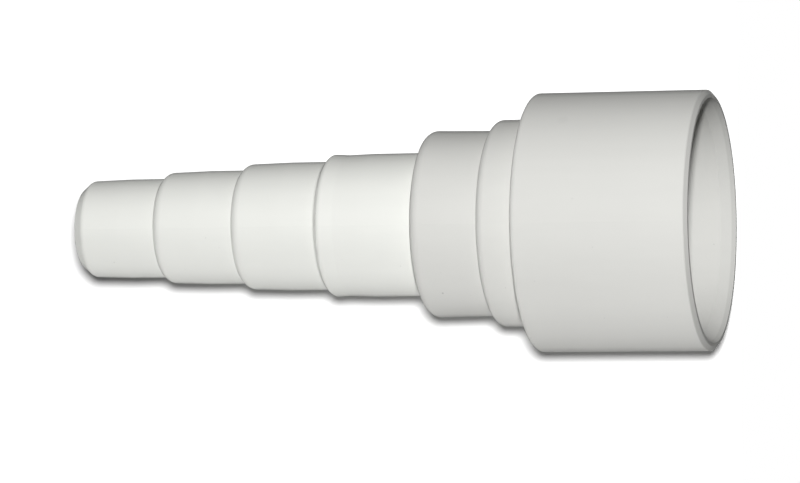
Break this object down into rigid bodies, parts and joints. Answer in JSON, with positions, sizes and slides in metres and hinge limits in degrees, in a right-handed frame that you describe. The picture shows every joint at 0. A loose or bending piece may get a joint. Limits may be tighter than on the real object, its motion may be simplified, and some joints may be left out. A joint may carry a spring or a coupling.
{
  "type": "pipe reducer",
  "caption": "Reducer from a wide socket for a solvent-cemented pipe to a tail with stepped hose connections, standing on its wide mouth.",
  "frame": {"origin": "centre of the wide mouth's rim face, which the part stands on", "axes": "+Z along the axis towards the narrow end; X and Y are free, because the part is round"},
  "size_m": [0.072, 0.072, 0.182],
  "materials": {
    "grey_pvc": "light grey moulded PVC, satin",
    "white_pvc": "white moulded PVC, satin"
  },
  "bodies": {
    "root": {"reducing_socket": "grey_pvc", "hose_tail": "white_pvc"}
  },
  "joints": []
}
